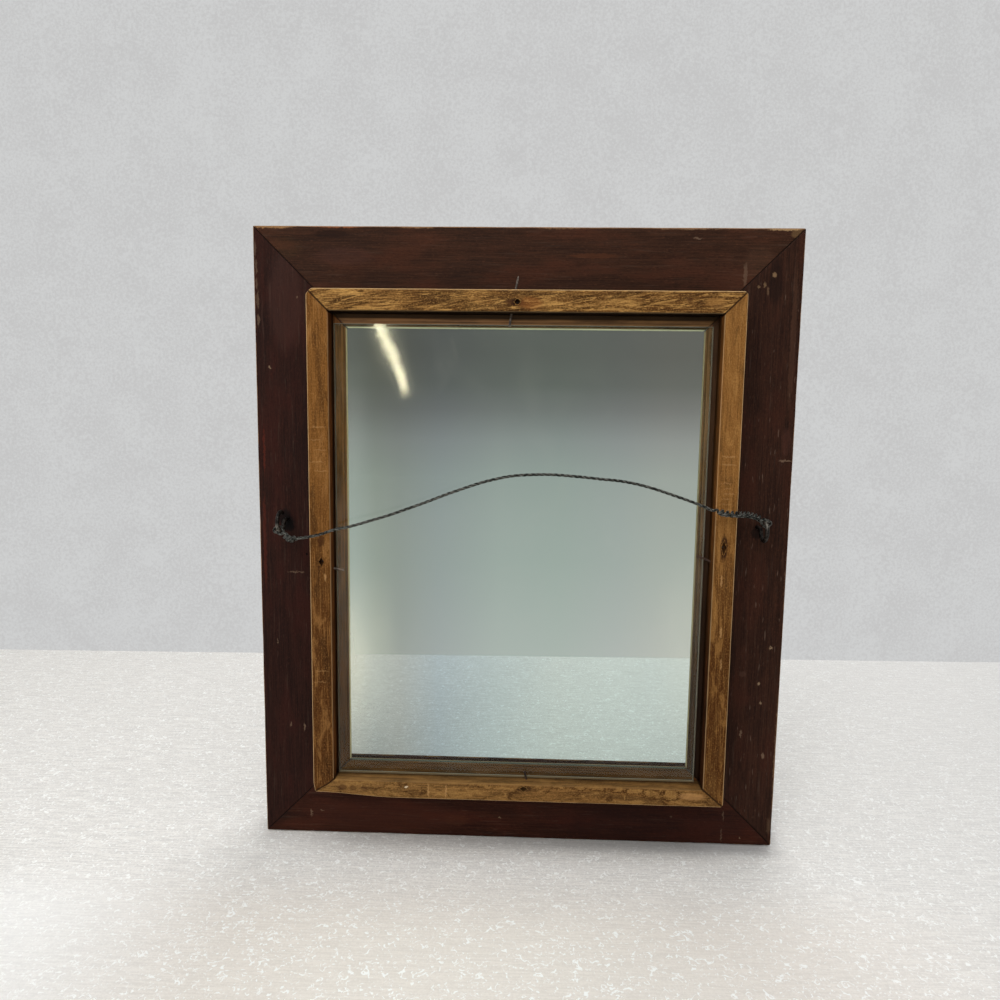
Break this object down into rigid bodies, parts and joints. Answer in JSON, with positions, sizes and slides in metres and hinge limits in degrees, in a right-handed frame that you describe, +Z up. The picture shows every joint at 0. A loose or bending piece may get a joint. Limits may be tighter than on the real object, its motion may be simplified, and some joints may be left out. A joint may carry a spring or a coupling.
{
  "type": "shadow box frame",
  "caption": "Deep mitred wooden shadow box frame with an inner slip, a glass pane held by brads, a box of strips on its back and a twisted hanging wire between screw eyes.",
  "frame": {"origin": "middle of the back face of the top box strip, on the plane that bears on the wall", "axes": "+Y out of the back, towards the wall; -Y the way the frame faces; +Z up; +X to the left as seen from the back"},
  "size_m": [0.305, 0.0706, 0.3576],
  "materials": {
    "walnut_stain": "dark walnut stain, satin, worn at the edges",
    "walnut_stain_worn": "dark walnut stain, streaked and rubbed lighter",
    "sawn_strip": "bare sawn softwood, aged",
    "gilt_slip": "aged gilt over gesso",
    "pane": "clear float glass, dusty",
    "brad_steel": "dulled steel",
    "nail_steel": "dark, lightly rusted steel",
    "eye_steel": "dark steel, rubbed bright where the wire bears",
    "wire_steel": "twisted galvanized strands, dulled"
  },
  "bodies": {
    "frame": {"top_rail": "walnut_stain_worn", "bottom_rail": "walnut_stain", "left_rail": "walnut_stain", "right_rail": "walnut_stain", "top_box_strip": "sawn_strip", "bottom_box_strip": "sawn_strip", "left_box_strip": "sawn_strip", "right_box_strip": "sawn_strip", "top_slip": "gilt_slip", "bottom_slip": "gilt_slip", "left_slip": "gilt_slip", "right_slip": "gilt_slip", "glass_pane": "pane", "top_brad": "brad_steel", "bottom_brad": "brad_steel", "left_brad": "brad_steel", "right_brad": "brad_steel", "strip_nails": "nail_steel", "rail_corner_nails": "nail_steel", "box_corner_nails": "nail_steel", "left_screw_eye": "eye_steel", "right_screw_eye": "eye_steel"},
    "hanging_wire": {"picture_wire": "wire_steel", "left_wire_tie": "wire_steel", "right_wire_tie": "wire_steel"}
  },
  "joints": [
    {"name": "wire_swing", "type": "hinge", "parent": "frame", "child": "hanging_wire", "pos_m": [0, -0.0132, -0.1209], "axis": [-1, 0, 0], "range_deg": [-5, 40]}
  ]
}
